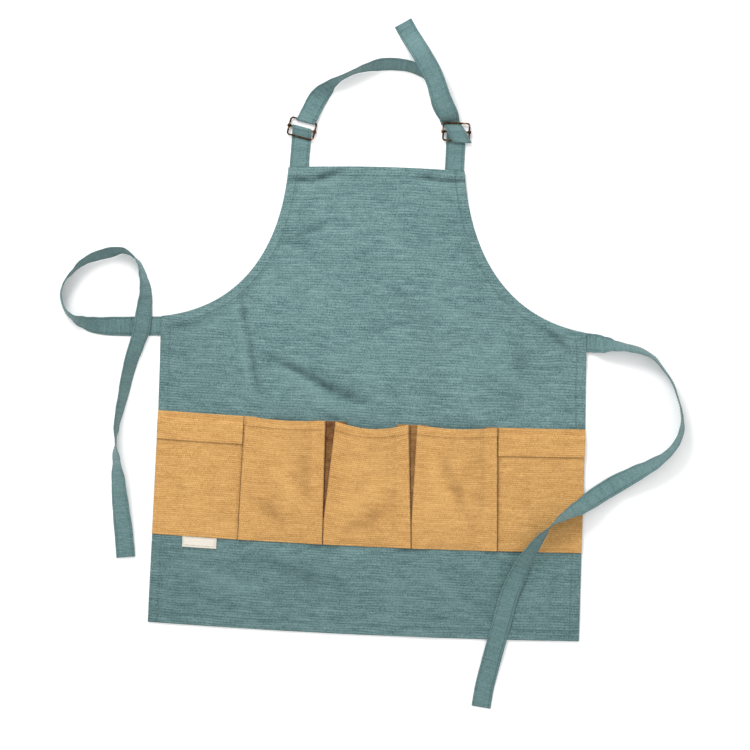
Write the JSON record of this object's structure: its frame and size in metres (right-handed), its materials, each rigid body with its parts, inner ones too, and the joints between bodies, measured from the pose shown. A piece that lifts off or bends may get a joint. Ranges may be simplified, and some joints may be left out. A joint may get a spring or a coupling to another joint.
{
  "type": "gardening apron",
  "caption": "Child's cloth gardening apron with a buckled neck strap, waist ties and a contrasting band of tool pockets, lying flat.",
  "frame": {"origin": "middle of the waist line on the back face of the panel", "axes": "+Y from the hem up to the neck, +X to the right as seen from the front, +Z out of the front face"},
  "size_m": [0.6591, 0.7317, 0.0239],
  "materials": {
    "body_cloth": "matte ribbed cotton, grey teal",
    "strap_cloth": "matte plain-woven cotton, grey teal",
    "pocket_cloth": "matte fine-ribbed cotton, ochre",
    "label_cloth": "smooth woven tape, off-white",
    "slider_brass": "antique brass wire, darkened, worn bright on top"
  },
  "bodies": {
    "root": {"apron_body": "body_cloth", "pocket_1": "pocket_cloth", "pocket_2": "pocket_cloth", "pocket_3": "pocket_cloth", "pocket_4": "pocket_cloth", "pocket_5": "pocket_cloth", "flap_left": "pocket_cloth", "flap_right": "pocket_cloth", "side_label": "label_cloth", "neck_tab_left": "strap_cloth", "neck_tab_right": "strap_cloth", "neck_strap": "strap_cloth", "waist_tie_left": "strap_cloth", "waist_tie_right": "strap_cloth", "slider_left_frame": "slider_brass", "slider_left_bar": "slider_brass", "slider_right_frame": "slider_brass", "slider_right_bar": "slider_brass"}
  },
  "joints": []
}
